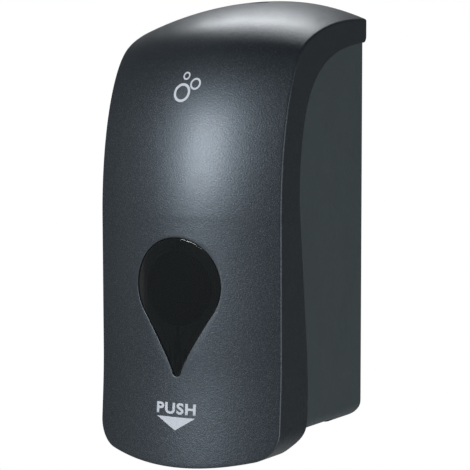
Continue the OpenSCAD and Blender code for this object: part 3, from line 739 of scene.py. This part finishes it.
@dataclass
class PushCover:
    """The painted cover that is pressed to get soap: shell, window, print and emblem."""

    wall: float = 2.2
    edge_r: float = 1.1
    middle: int = 76
    corner: int = 26
    step: float = 1.35
    foot_rows: int = 16
    lens_sink: float = 0.5
    lens_t: float = 1.4
    gasket_t: float = 1.0
    window_gap: float = 0.25
    window_rim: float = 3.0
    sight_r: float = 20.0
    key_r: float = 5.6
    foot_rise: float = 12.0
    ring_rows: int = 6
    edge_rows: int = 5
    strip_rows: int = 14
    rim_soft: float = 0.55
    rim_depth: float = 1.3
    lip_rear: float = -118.0
    lip_t: float = 1.0
    lip_half: float = 42.0
    lip_blend: float = 2.5
    soften: int = 7
    soften_z: float = 20.0
    print_t: float = 0.04
    boss_skin: float = 0.6
    window: Hole = Hole(-41.0, 33.5, 46.5, False)
    key_hole: Hole = Hole(-25.0, 9.5, 9.5, True)
    skin: CoverSkin = field(init=False)

    def __post_init__(self) -> None:
        """Takes the cover's overall sizes from its CAD node."""
        low, high = (np.array(corner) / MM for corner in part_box("front_cover"))
        self.skin = CoverSkin(half=float(high[0]), top=float(high[2]) - CoverSkin.roof_crown,
                              low=float(low[2]) + CoverSkin.lip_drop)

    def _strip_rear(self) -> tuple[np.ndarray, float]:
        """The strip's rear edge in y and z, and its length down to the side of the front."""
        f, t, b = self.skin.front, self.skin.top, self.skin.low
        a = np.radians(np.linspace(90, 0, 12))
        corner = np.stack([-4 + 4 * np.sin(a), t - 10 - 4 * np.cos(a)], axis=1)
        bend = (f + 30.4, t - 54.3)
        roof = bezier([(-4, t - 14), (-38, t - 17.5), (f + 43, t - 25), bend], 60)
        upper = np.concatenate([corner[:-1], roof])
        lower = np.concatenate([
            bezier([bend, (f + 24.5, t - 70), (f + 20.5, t - 95), (f + 23, t - 115)], 40),
            bezier(straight((f + 23, t - 115), (f + 31.2, b + 61)), 10),
            bezier([(f + 31.2, b + 61), (f + 33.5, b + 39), (f + 33.5, b + 22), (f + 32, b + 12)], 30),
            bezier([(f + 32, b + 12), (f + 30.7, b + 5), (f + 27, b + 1), (f + 19, b - 0.2)], 30),
            [(f + 19, b - 0.2), (f + 17, b - 20)]])
        return np.concatenate([upper, lower]), float(lengths(np.concatenate([upper, [bend]]))[-1])

    def _grid(self, sheet: SheetMesh, inset: float, edge: float) -> SideGrid:
        """Adds the grid of one side.

        Args:
            sheet: Where its points go.
            inset: Depth of this side below the outer surface.
            edge: Size of the rounding between the surface and the strips.

        Returns:
            The grid.
        """
        skin = self.skin
        x, z_end, _ = skin.outline(inset + edge, self.middle, self.corner)
        xc, zc, out = skin.outline(inset, self.middle, self.corner)
        s_bend = float(skin.place(np.array([0.0]), np.array([zc[0] + self.foot_rise]), inset)[0])
        plain = np.linspace(0.0, s_bend, int(s_bend / self.step))
        v = np.arange(1, self.foot_rows + 1)[:, None] / self.foot_rows

        def places(across: np.ndarray, ends: np.ndarray) -> np.ndarray:
            """Rows that are level down to the bend, then close in on the bottom edge."""
            level = np.repeat(plain[:, None], len(across), axis=1)
            return np.concatenate([level, s_bend + (skin.place(across, ends, inset) - s_bend)[None, :] * v])

        s = places(x, z_end)
        across = np.repeat(x[None, :], len(s), axis=0)
        return SideGrid(inset, across, s, xc, places(xc, zc), out, sheet.add(skin.point(across, s, inset)))

    def _ring(self, hole: Hole, grow: float, count: int) -> np.ndarray:
        """A hole's outline, grown: x and z round the window, or x and y round the key hole."""
        if not hole.roof:
            return self.skin.drop(-grow, count)
        a, r = np.arange(count) / count * 2 * math.pi, self.key_r + grow
        return np.stack([r * np.sin(a), hole.level + r * np.cos(a)], axis=1)

    def _open(self, sheet: SheetMesh, side: SideGrid, hole: Hole, rim: Sequence[Point2]) -> np.ndarray:
        """Lays rings from the border of a block of cells in to a hole's outline.

        Args:
            sheet: Where the rings go.
            side: The grid.
            hole: The hole.
            rim: Outline growth and depth of each row round the hole.

        Returns:
            Which cells the block takes.
        """
        skin, (rows, columns) = self.skin, side.numbers.shape
        level = skin.point(side.x, side.s, 0.0)[:, columns // 2, 1 if hole.roof else 2]
        inside = np.abs(level - hole.level) < hole.half_level
        if hole.roof:
            inside &= np.arange(rows) < rows // 2
        i0, i1 = np.flatnonzero(inside)[[0, -1]]
        j0, j1 = np.flatnonzero(np.abs(side.x[0]) < hole.half_width)[[0, -1]]
        mid = (j0 + j1) // 2
        ii, jj = np.array([(i0, j) for j in range(mid, j1)] + [(i, j1) for i in range(i0, i1)]
                          + [(i1, j) for j in range(j1, j0, -1)] + [(i, j0) for i in range(i1, i0, -1)]
                          + [(i0, j) for j in range(j0, mid)]).T
        px, ps = side.x[ii, jj], side.s[ii, jj]
        made = []
        for steps, (grow, depth) in zip((self.ring_rows, *[1] * len(rim)), rim):
            ring = self._ring(hole, grow, len(ii))
            gx, gs = ring[:, 0], skin.place(ring[:, 0], ring[:, 1], depth, hole.roof)
            made += [skin.point(px + (gx - px) * t, ps + (gs - ps) * t, depth)
                     for t in np.linspace(0, 1, steps + 1)[1:]]
        sheet.grow(side.numbers[ii, jj], made, True)
        taken = np.zeros((rows - 1, columns - 1), bool)
        taken[i0:i1, j0:j1] = True
        return taken

    def _border(self, sheet: SheetMesh, side: SideGrid) -> None:
        """Lays the rounded edge, then the strips and the lip back to their rear edge."""
        skin, (rows, columns) = self.skin, side.numbers.shape
        ii, jj = np.array([(i, 0) for i in range(rows)] + [(rows - 1, j) for j in range(1, columns)]
                          + [(i, columns - 1) for i in range(rows - 2, -1, -1)]).T
        x, xc, sc = side.x[0][jj], side.corner_x[jj], side.corner_s[ii, jj]
        corner, rim = skin.point(xc, sc, side.inset), skin.point(x, side.s[ii, jj], side.inset)
        across = np.stack([np.sign(x), 0 * x, 0 * x], axis=1)
        out = np.where((ii < rows - 1)[:, None], across, side.out[jj])
        normal = skin.normal(xc, sc)
        back = normal - (normal * out).sum(axis=1)[:, None] * out
        back /= -np.linalg.norm(back, axis=1)[:, None]
        inner = corner + back * np.linalg.norm(rim - corner, axis=1)[:, None]
        rear = self._rear_points(corner, sc, ii == rows - 1, side.inset)
        rounded = [(1 - t) ** 2 * rim + 2 * (1 - t) * t * corner + t * t * inner
                   for t in np.linspace(0, 1, self.edge_rows + 1)[1:]]
        strip = [inner + (rear - inner) * t for t in np.linspace(0, 1, self.strip_rows + 1)[1:]]
        sheet.grow(side.numbers[ii, jj], rounded + strip, False)

    def _sheet(self, inset: float, edge: float, rim: Sequence[Point2]) -> SheetMesh:
        """Lays out one side of the wall.

        Args:
            inset: Depth of this side below the outer surface.
            edge: Size of the rounding between the surface and the strips.
            rim: Outline growth and depth of each row round the holes.

        Returns:
            The mesh data, whose layout is the same for both sides.
        """
        sheet = SheetMesh()
        side = self._grid(sheet, inset, edge)
        taken = self._open(sheet, side, self.window, rim) | self._open(sheet, side, self.key_hole, rim)
        grid = side.numbers
        for i, j in np.argwhere(~taken):
            sheet.faces.append((grid[i, j], grid[i + 1, j], grid[i + 1, j + 1], grid[i, j + 1]))
        self._border(sheet, side)
        return sheet

    def _rear_points(self, corner: np.ndarray, s: np.ndarray, foot: np.ndarray, inset: float) -> np.ndarray:
        """Where the strips and the lip end behind each point of the border."""
        strip, upper = self._strip_rear()
        far = lengths(strip)
        bend_z = float(np.interp(upper, far, strip[:, 1]))
        s_level = float(self.skin.place(np.array([self.skin.half]), np.array([bend_z]), 0.0)[0])
        share = np.clip(s / s_level, 0, 1) * upper
        lower = strip[far >= upper]
        y_level = np.interp(-corner[:, 2], -lower[:, 1], lower[:, 0])
        above = s < s_level
        y = np.where(above, np.interp(share, far, strip[:, 0]), y_level)
        z = np.where(above, np.interp(share, far, strip[:, 1]), corner[:, 2])
        reach, mean = self.soften - 1, np.ones(self.soften) / self.soften
        padded = np.pad(y, reach, mode="edge")
        soft = np.convolve(np.convolve(padded, mean, "valid"), mean, "valid")
        y = np.where(foot | (corner[:, 2] < self.skin.low + self.soften_z), soft, y)
        lip = np.maximum(self.lip_rear, corner[:, 1] + self.lip_t + (self.wall - inset))
        w = np.clip((np.abs(corner[:, 0]) - self.lip_half) / self.lip_blend, 0, 1)
        w = np.where(foot, w * w * (3 - 2 * w), 1.0)
        return np.stack([corner[:, 0], lip + (y - lip) * w, z], axis=1)

    def shell(self) -> bpy.types.Object:
        """Makes the cover's wall.

        Its two sides are one free curved surface with a drop window and a key hole, which no
        primitive comes near, so their points are worked out and the faces laid between them.

        Returns:
            The shell.
        """
        quarter = [(self.rim_soft * (1 - math.sin(a)), self.rim_soft * (1 - math.cos(a)))
                   for a in np.radians([0, 22.5, 45, 67.5, 90])]
        steps = [(0.08 * k, self.wall) for k in range(len(quarter), -1, -1)]
        outer = self._sheet(0.0, self.edge_r, [*quarter, (0.0, self.rim_depth)])
        inner = self._sheet(self.wall, 0.3, steps)
        points = np.concatenate(outer.points + inner.points)
        far = outer.count
        border: dict[tuple[int, int], tuple[int, int] | None] = {}
        for face in outer.faces:
            for a, b in zip(face, face[1:] + face[:1]):
                key = (min(a, b), max(a, b))
                border[key] = None if key in border else (a, b)
        rim = [pair for pair in border.values() if pair is not None]
        faces = list(outer.faces)
        faces += [tuple(v + far for v in reversed(face)) for face in inner.faces]
        faces += [(b, a, a + far, b + far) for a, b in rim]
        mesh = bpy.data.meshes.new("cover_shell")
        mesh.from_pydata((points * MM).tolist(), [], [tuple(int(v) for v in face) for face in faces])
        mesh.validate()
        piece = bpy.data.objects.new("cover_shell", mesh)
        bpy.context.scene.collection.objects.link(piece)
        Bench.pick(piece)
        bpy.ops.object.mode_set(mode="EDIT")
        bpy.ops.mesh.select_all(action="SELECT")
        bpy.ops.mesh.remove_doubles(threshold=1e-6)
        bpy.ops.mesh.normals_make_consistent(inside=False)
        bpy.ops.object.mode_set(mode="OBJECT")
        Bench.smooth(piece, 35.0)
        return piece

    def plate(self, name: str, rows: Iterable[tuple[np.ndarray, float]], closed: bool) -> bpy.types.Object:
        """Makes a plate that follows the surface.

        Args:
            name: The piece's name.
            rows: Outline in x and z and depth below the surface, from row to row.
            closed: Whether the last row meets the first, as in a ring; otherwise both are filled.

        Returns:
            The plate.
        """
        made = []
        for ring, depth in rows:
            s = self.skin.place(ring[:, 0], ring[:, 1], depth)
            made.append(self.skin.point(ring[:, 0], s, depth))
        if closed:
            made.append(made[0])
        return Bench.loft(name, np.array(made) * MM, caps=not closed)

    def _shrunk(self, ring: np.ndarray, share: float) -> np.ndarray:
        """A drop outline drawn in towards the middle of the window."""
        centre = np.array([0.0, self.skin.window_z - 6.0])
        return centre + (ring - centre) * share

    def lens(self) -> bpy.types.Object:
        """Makes the smoked lens with a rounded rim; its faces follow the cover's surface."""
        count, top, bottom = 160, self.lens_sink, self.lens_sink + self.lens_t
        gap, soft = self.window_gap, 0.4
        rim = [(gap + soft * (1 - math.cos(a)), top + soft * (1 - math.sin(a)))
               for a in np.radians([90, 60, 30, 0])]
        edge = self.skin.drop(gap + soft, count)
        rows = [(self._shrunk(edge, t), top) for t in (0.004, 0.1, 0.25, 0.4, 0.55, 0.7, 0.85, 0.95, 0.985)]
        rows += [(self.skin.drop(grow, count), depth) for grow, depth in rim]
        rows += [(self.skin.drop(gap, count), bottom)]
        rows += [(self._shrunk(edge, t), bottom) for t in (0.85, 0.6, 0.35, 0.1, 0.004)]
        return self.plate("smoked_lens", rows, False)

    def _sight(self, radius: float, count: int) -> np.ndarray:
        """The round sight hole, point for point with the drop outline."""
        centre = np.array([0.0, self.skin.window_z - 1.6])
        way = self.skin.drop(0.0, count) - centre
        a = np.unwrap(np.arctan2(way[:, 0], way[:, 1]))
        return centre + radius * np.stack([np.sin(a), np.cos(a)], axis=1)

    def gasket(self) -> bpy.types.Object:
        """Makes the rubber ring between the lens and its seat."""
        count, top = 128, self.lens_sink + self.lens_t
        outer, inner = self.skin.drop(self.window_gap, count), self._sight(self.sight_r + 1.5, count)
        rows = [*self._between(outer, inner, top), *self._between(inner, outer, top + self.gasket_t)]
        return self.plate("lens_gasket", rows, True)

    @staticmethod
    def _between(start: np.ndarray, end: np.ndarray, depth: float) -> list[tuple[np.ndarray, float]]:
        """Rows of a face that follows the surface from one outline to another."""
        return [(start + (end - start) * t, depth) for t in np.linspace(0, 1, 7)]

    def seat(self) -> bpy.types.Object:
        """Makes the thick rim behind the window, with the round sight hole through its floor."""
        count, floor = 128, self.lens_sink + self.lens_t + self.gasket_t
        wall_in, wall_out = self.skin.drop(0.0, count), self.skin.drop(-self.window_rim, count)
        sight, low = self._sight(self.sight_r, count), floor + self.wall
        high = self.wall - self.boss_skin
        rows = [(wall_out, high), (wall_in, high), *self._between(wall_in, sight, floor),
                *self._between(sight, wall_out, low)]
        return self.plate("window_seat", rows, True)

    def patch(self, name: str, outline: Sequence[Point2]) -> bpy.types.Object:
        """Lays a thin printed shape on the cover's surface.

        The shape is one flat face of many corners, which no primitive has, so it is laid from them.

        Args:
            name: The piece's name.
            outline: Its corners in x and z.

        Returns:
            The print.
        """
        mesh = bpy.data.meshes.new(name)
        mesh.from_pydata([(x, 0, z) for x, z in outline], [], [tuple(range(len(outline)))])
        piece = bpy.data.objects.new(name, mesh)
        bpy.context.scene.collection.objects.link(piece)
        return self.lay(piece)

    def lay(self, piece: bpy.types.Object) -> bpy.types.Object:
        """Cuts a flat shape into small squares, lays it on the cover's surface and thickens it.

        Args:
            piece: A flat mesh in the plane y = 0, in millimetres.

        Returns:
            The same piece.
        """
        mesh, square, sunk = piece.data, 1.5, 0.03
        flat = Bench.points(piece)
        Bench.pick(piece)
        bpy.ops.object.mode_set(mode="EDIT")
        for axis, normal in ((0, (1, 0, 0)), (2, (0, 0, 1))):
            for place in np.arange(flat[:, axis].min() + square, flat[:, axis].max(), square):
                bpy.ops.mesh.select_all(action="SELECT")
                bpy.ops.mesh.bisect(plane_co=tuple(place * np.array(normal)), plane_no=normal)
        bpy.ops.object.mode_set(mode="OBJECT")
        at = Bench.points(piece)
        s = self.skin.place(at[:, 0], at[:, 2], 0.0)
        Bench.move(piece, self.skin.point(at[:, 0], s, -self.print_t) * MM)
        if sum(face.normal.y * face.area for face in mesh.polygons) > 0:
            mesh.flip_normals()
        Bench.modify(piece, "SOLIDIFY", thickness=(self.print_t + sunk) * MM, offset=-1.0)
        return piece

    def word(self, text: str, middle: Point2, size: Point2) -> bpy.types.Object:
        """Prints a word in plain capitals.

        Args:
            text: The word.
            middle: Its middle in x and z.
            size: Its width and height.

        Returns:
            The word on the cover's surface.
        """
        Bench.clear()
        bpy.ops.object.text_add(rotation=(math.pi / 2, 0.0, 0.0))
        piece = bpy.context.object
        piece.data.body = text
        piece.data.space_character = 1.12
        piece.data.resolution_u = 6
        piece.data.offset = 0.036
        bpy.ops.object.convert(target="MESH")
        Bench.settle(piece)
        at = Bench.points(piece)
        low, high = at.min(axis=0), at.max(axis=0)
        for axis, centre, width in ((0, middle[0], size[0]), (2, middle[1], size[1])):
            at[:, axis] = centre + ((at[:, axis] - low[axis]) / (high[axis] - low[axis]) - 0.5) * width
        at[:, 1] = 0.0
        Bench.move(piece, at)
        return self.lay(piece)

    @staticmethod
    def bubble(middle: Point2, radius: float, weight: float, count: int = 36) -> list[list[Point2]]:
        """A ring as two half rings, outlines in x and z."""
        halves = []
        for start in (0.0, math.pi):
            a = start + np.linspace(0, math.pi, count // 2 + 1)
            ring = np.stack([np.cos(a), np.sin(a)], axis=1)
            shape = np.concatenate([ring * radius, ring[::-1] * (radius - weight)]) + middle
            halves.append([tuple(map(float, p)) for p in shape])
        return halves

    def prints(self) -> bpy.types.Object:
        """Makes the plain push mark: a word and a triangle that points down."""
        word = self.word("PUSH", (0.0, -99.4), (26.0, 6.6))
        arrow = self.patch("push_arrow", [(-12.7, -104.3), (0.0, -111.9), (12.7, -104.3)])
        return Bench.join("push_mark", [word, arrow])

    def emblem(self) -> bpy.types.Object:
        """Makes a generic emblem of three rising bubbles."""
        outlines = (self.bubble((-2.6, 80.6), 5.4, 1.5) + self.bubble((5.2, 85.6), 3.4, 1.1)
                    + self.bubble((-1.6, 90.2), 2.3, 0.9))
        return Bench.join("bubble_emblem", [self.patch(f"bubble_{k}", o) for k, o in enumerate(outlines)])

    def bosses(self) -> list[bpy.types.Object]:
        """Makes the bosses inside the cover that its hinge arms and its catch are screwed to."""
        arm = np.array([(35.3, -115.5, -116.0), (47.3, -104.0, -96.0)])
        catch = np.array([(-18.0, -20.5, 124.0), (-8.0, -10.5, 134.0)])
        boxes = [arm * (-1, 1, 1), arm, catch]
        inset, made = self.wall - self.boss_skin, []
        for box in boxes:
            low, high = box.min(axis=0), box.max(axis=0)
            roof = bool(low[2] > 0)
            Bench.clear()
            bpy.ops.mesh.primitive_cube_add(size=1.0, location=tuple((low + high) / 2 * MM),
                                            scale=tuple((high - low) * MM))
            piece = bpy.context.object
            Bench.settle(piece)
            at = Bench.points(piece) / MM
            outer = at[:, 2] > low[2] + 1 if roof else at[:, 1] < high[1] - 1
            s = self.skin.place(at[:, 0], at[:, 1 if roof else 2], inset, roof)
            at[outer] = self.skin.point(at[:, 0], s, inset)[outer]
            Bench.move(piece, at * MM)
            Bench.modify(piece, "BEVEL", width=0.4 * MM, segments=2)
            made.append(piece)
        return made

    def build(self, finishes: Finishes) -> None:
        """Builds and dresses every piece of the cover."""
        shell = Bench.join("cover_shell", [self.shell(), self.seat(), *self.bosses()])
        dress(shell, Body.COVER, Slot.PAINT, finishes[Look.PAINT], "front_cover")
        lens, gasket = self.lens(), self.gasket()
        Bench.smooth(lens)
        dress(lens, Body.COVER, Slot.LENS, finishes[Look.LENS], "window_lens")
        Bench.smooth(gasket)
        dress(gasket, Body.COVER, Slot.RUBBER, finishes[Look.GASKET], "window_gasket")
        for print_ in (self.prints(), self.emblem()):
            dress(print_, Body.COVER, Slot.PAINT, finishes[Look.INK])


# ---------------------------------------------------------------- pieces that keep the CAD's shape


@dataclass(frozen=True)
class CarriedPart:
    """A CAD node that keeps its shape, with its edges rounded by a width in millimetres."""

    node: str
    slot: Slot
    look: Look
    bevel: float


@dataclass(frozen=True)
class CarriedBody:
    """The pieces of one body that keep the CAD's shape."""

    body: Body
    parts: tuple[CarriedPart, ...]

    def build(self, finishes: Finishes) -> None:
        """Copies, softens and dresses each piece."""
        for part in self.parts:
            piece = Bench.refined_copy(part.node, part.bevel * MM)
            dress(piece, self.body, part.slot, finishes[part.look], part.node)


CARRIED = (
    CarriedBody(Body.HOUSING, (
        CarriedPart("rear_housing", Slot.HOUSING, Look.HOUSING, 0.5),
        CarriedPart("hinge_pins", Slot.STEEL, Look.STEEL, 0.25),
        CarriedPart("rest_pads", Slot.RUBBER, Look.RUBBER, 0.4),
        CarriedPart("soap_tank", Slot.TANK, Look.TANK, 0.6),
        CarriedPart("tank_lid", Slot.DARK, Look.DARK, 0.4),
        CarriedPart("lid_gasket", Slot.SILICONE, Look.SILICONE, 0.15),
        CarriedPart("tank_clips", Slot.NYLON, Look.NYLON, 0.3),
        CarriedPart("pump_bracket", Slot.NYLON, Look.NYLON, 0.4),
        CarriedPart("bracket_screws", Slot.STEEL, Look.STEEL, 0.3),
        CarriedPart("pump_body", Slot.TANK, Look.TANK, 0.3),
        CarriedPart("gland_cap", Slot.DARK, Look.DARK, 0.4),
        CarriedPart("neck_nut", Slot.DARK, Look.DARK, 0.4),
        CarriedPart("neck_seal", Slot.SILICONE, Look.SILICONE, 0.2),
        CarriedPart("inlet_ball", Slot.STEEL, Look.STEEL, 0.0),
        CarriedPart("ball_cage", Slot.NYLON, Look.NYLON, 0.1),
        CarriedPart("outlet_valve", Slot.CLEAR, Look.CLEAR, 0.1),
        CarriedPart("nozzle", Slot.DARK, Look.DARK, 0.4),
        CarriedPart("return_spring", Slot.STEEL, Look.STEEL, 0.0),
    )),
    CarriedBody(Body.FRAME, (
        CarriedPart("push_frame", Slot.NYLON, Look.NYLON, 0.4),
        CarriedPart("frame_bushes", Slot.ACETAL, Look.ACETAL, 0.15),
        CarriedPart("press_pad", Slot.ACETAL, Look.ACETAL, 0.3),
        CarriedPart("frame_pins", Slot.STEEL, Look.STEEL, 0.3),
        CarriedPart("barrel_bush", Slot.BRASS, Look.BRASS, 0.2),
    )),
    CarriedBody(Body.PLUNGER, (
        CarriedPart("plunger_rod", Slot.ACETAL, Look.ACETAL, 0.3),
        CarriedPart("plunger_head", Slot.DARK, Look.DARK, 0.4),
        CarriedPart("piston", Slot.NYLON, Look.NYLON, 0.15),
        CarriedPart("piston_seals", Slot.RUBBER, Look.RUBBER, 0.25),
    )),
    CarriedBody(Body.LOCK, (
        CarriedPart("lock_barrel", Slot.CHROME, Look.CHROME, 0.2),
        CarriedPart("lock_cam", Slot.CHROME, Look.CHROME, 0.3),
        CarriedPart("barrel_clip", Slot.STEEL, Look.STEEL, 0.15),
    )),
    CarriedBody(Body.COVER, (
        CarriedPart("cover_arms", Slot.NYLON, Look.NYLON, 0.4),
        CarriedPart("arm_screws", Slot.STEEL, Look.STEEL, 0.3),
        CarriedPart("cover_catch", Slot.NYLON, Look.NYLON, 0.3),
        CarriedPart("catch_screw", Slot.STEEL, Look.STEEL, 0.3),
    )),
)


# ---------------------------------------------------------------- studio


@dataclass(frozen=True)
class SoftBox:
    """One soft light that looks at a target."""

    name: str
    at: Triple
    target: Triple
    size: Point2
    power: float

    def place(self) -> None:
        """Adds the light."""
        data = bpy.data.lights.new(self.name, "AREA")
        data.shape, data.energy, (data.size, data.size_y) = "RECTANGLE", self.power, self.size
        light = bpy.data.objects.new(self.name, data)
        bpy.context.scene.collection.objects.link(light)
        light.location = self.at
        light.rotation_euler = (Vector(self.target) - Vector(self.at)).to_track_quat("-Z", "Y").to_euler()


@dataclass
class Studio:
    """Camera, pale floor, white surround and soft lights."""

    camera_at: Triple = (0.53954, -1.00721, 0.07615)
    yaw: float = 29.548
    pitch: float = 4.210
    lens_mm: float = 140.0
    floor_drop: float = 0.55
    floor_r: float = 1.4
    boxes: tuple[SoftBox, ...] = (
        SoftBox("back_box", (-0.42, 0.62, 0.98), (0.0, -0.05, 0.1), (0.55, 0.2), 6.5),
        SoftBox("front_box", (-0.43, -1.66, 0.52), (0.0, -0.1, 0.03), (0.6, 0.7), 33.0),
        SoftBox("side_box", (1.7, -0.1, -0.1), (0.0, -0.1, 0.0), (0.7, 1.2), 13.0),
        SoftBox("left_box", (-1.6, -0.9, 0.1), (0.0, -0.1, 0.0), (0.6, 1.2), 0.8),
    )

    def camera(self) -> None:
        """Places the camera, a little above the middle and to the right of the front."""
        data = bpy.data.cameras.new("studio_camera")
        data.lens, data.sensor_width = self.lens_mm, 36.0
        data.dof.use_dof = False
        camera = bpy.data.objects.new("studio_camera", data)
        bpy.context.scene.collection.objects.link(camera)
        camera.location = self.camera_at
        camera.rotation_euler = (math.radians(90 - self.pitch), 0.0, math.radians(self.yaw))
        bpy.context.scene.camera = camera

    def floor(self) -> None:
        """Makes a round floor well below the dispenser."""
        low = float(CAD_BOX[0][2]) - self.floor_drop
        Bench.clear()
        bpy.ops.mesh.primitive_circle_add(vertices=96, radius=self.floor_r, fill_type="NGON",
                                          location=(0, 0, low))
        piece = bpy.context.object
        piece.name = piece.data.name = "studio_floor"
        bpy.ops.object.mode_set(mode="EDIT")
        bpy.ops.mesh.select_all(action="SELECT")
        bpy.ops.mesh.extrude_region_move(TRANSFORM_OT_translate={"value": (0, 0, -0.02)})
        bpy.ops.mesh.select_all(action="SELECT")
        bpy.ops.mesh.normals_make_consistent(inside=False)
        bpy.ops.object.mode_set(mode="OBJECT")
        Bench.modify(piece, "BEVEL", width=0.006, segments=3, limit_method="ANGLE",
                     angle_limit=math.radians(SHARP_DEG))
        piece.data.materials.append(StudioFloor().build())

    @staticmethod
    def world() -> None:
        """Sets a white surround that looks brighter than it lights, and lights less from above."""
        world = bpy.data.worlds.new("studio_world")
        bpy.context.scene.world = world
        n = Nodes(world)
        way = n.add("ShaderNodeTexCoord", output="Generated")
        up = n.add("ShaderNodeSeparateXYZ", None, {0: way}, "Z")
        seen = n.add("ShaderNodeLightPath", output="Is Camera Ray")
        strength = n.span(seen, 0.0, 1.0, n.span(up, 0.25, 0.8, 0.13, 0.03), 1.0)
        white = n.add("ShaderNodeBackground", None, {"Color": (1.0, 1.0, 1.0, 1.0), "Strength": strength})
        n.add("ShaderNodeOutputWorld", None, {"Surface": white})

    def build(self) -> None:
        """Sets up everything but the object and the camera."""
        self.floor()
        self.world()
        bpy.context.scene.view_settings.view_transform = "Standard"
        for box in self.boxes:
            box.place()


def main() -> None:
    """Builds the camera, the dispenser piece by piece, and the rest of the studio."""
    logging.basicConfig(level=logging.INFO, format="%(name)s %(message)s")
    studio = Studio()
    studio.camera()
    finishes = {look: look.value.build() for look in Look}
    PushCover().build(finishes)
    for group in CARRIED:
        group.build(finishes)
    studio.build()


if __name__ == "__main__":
    main()
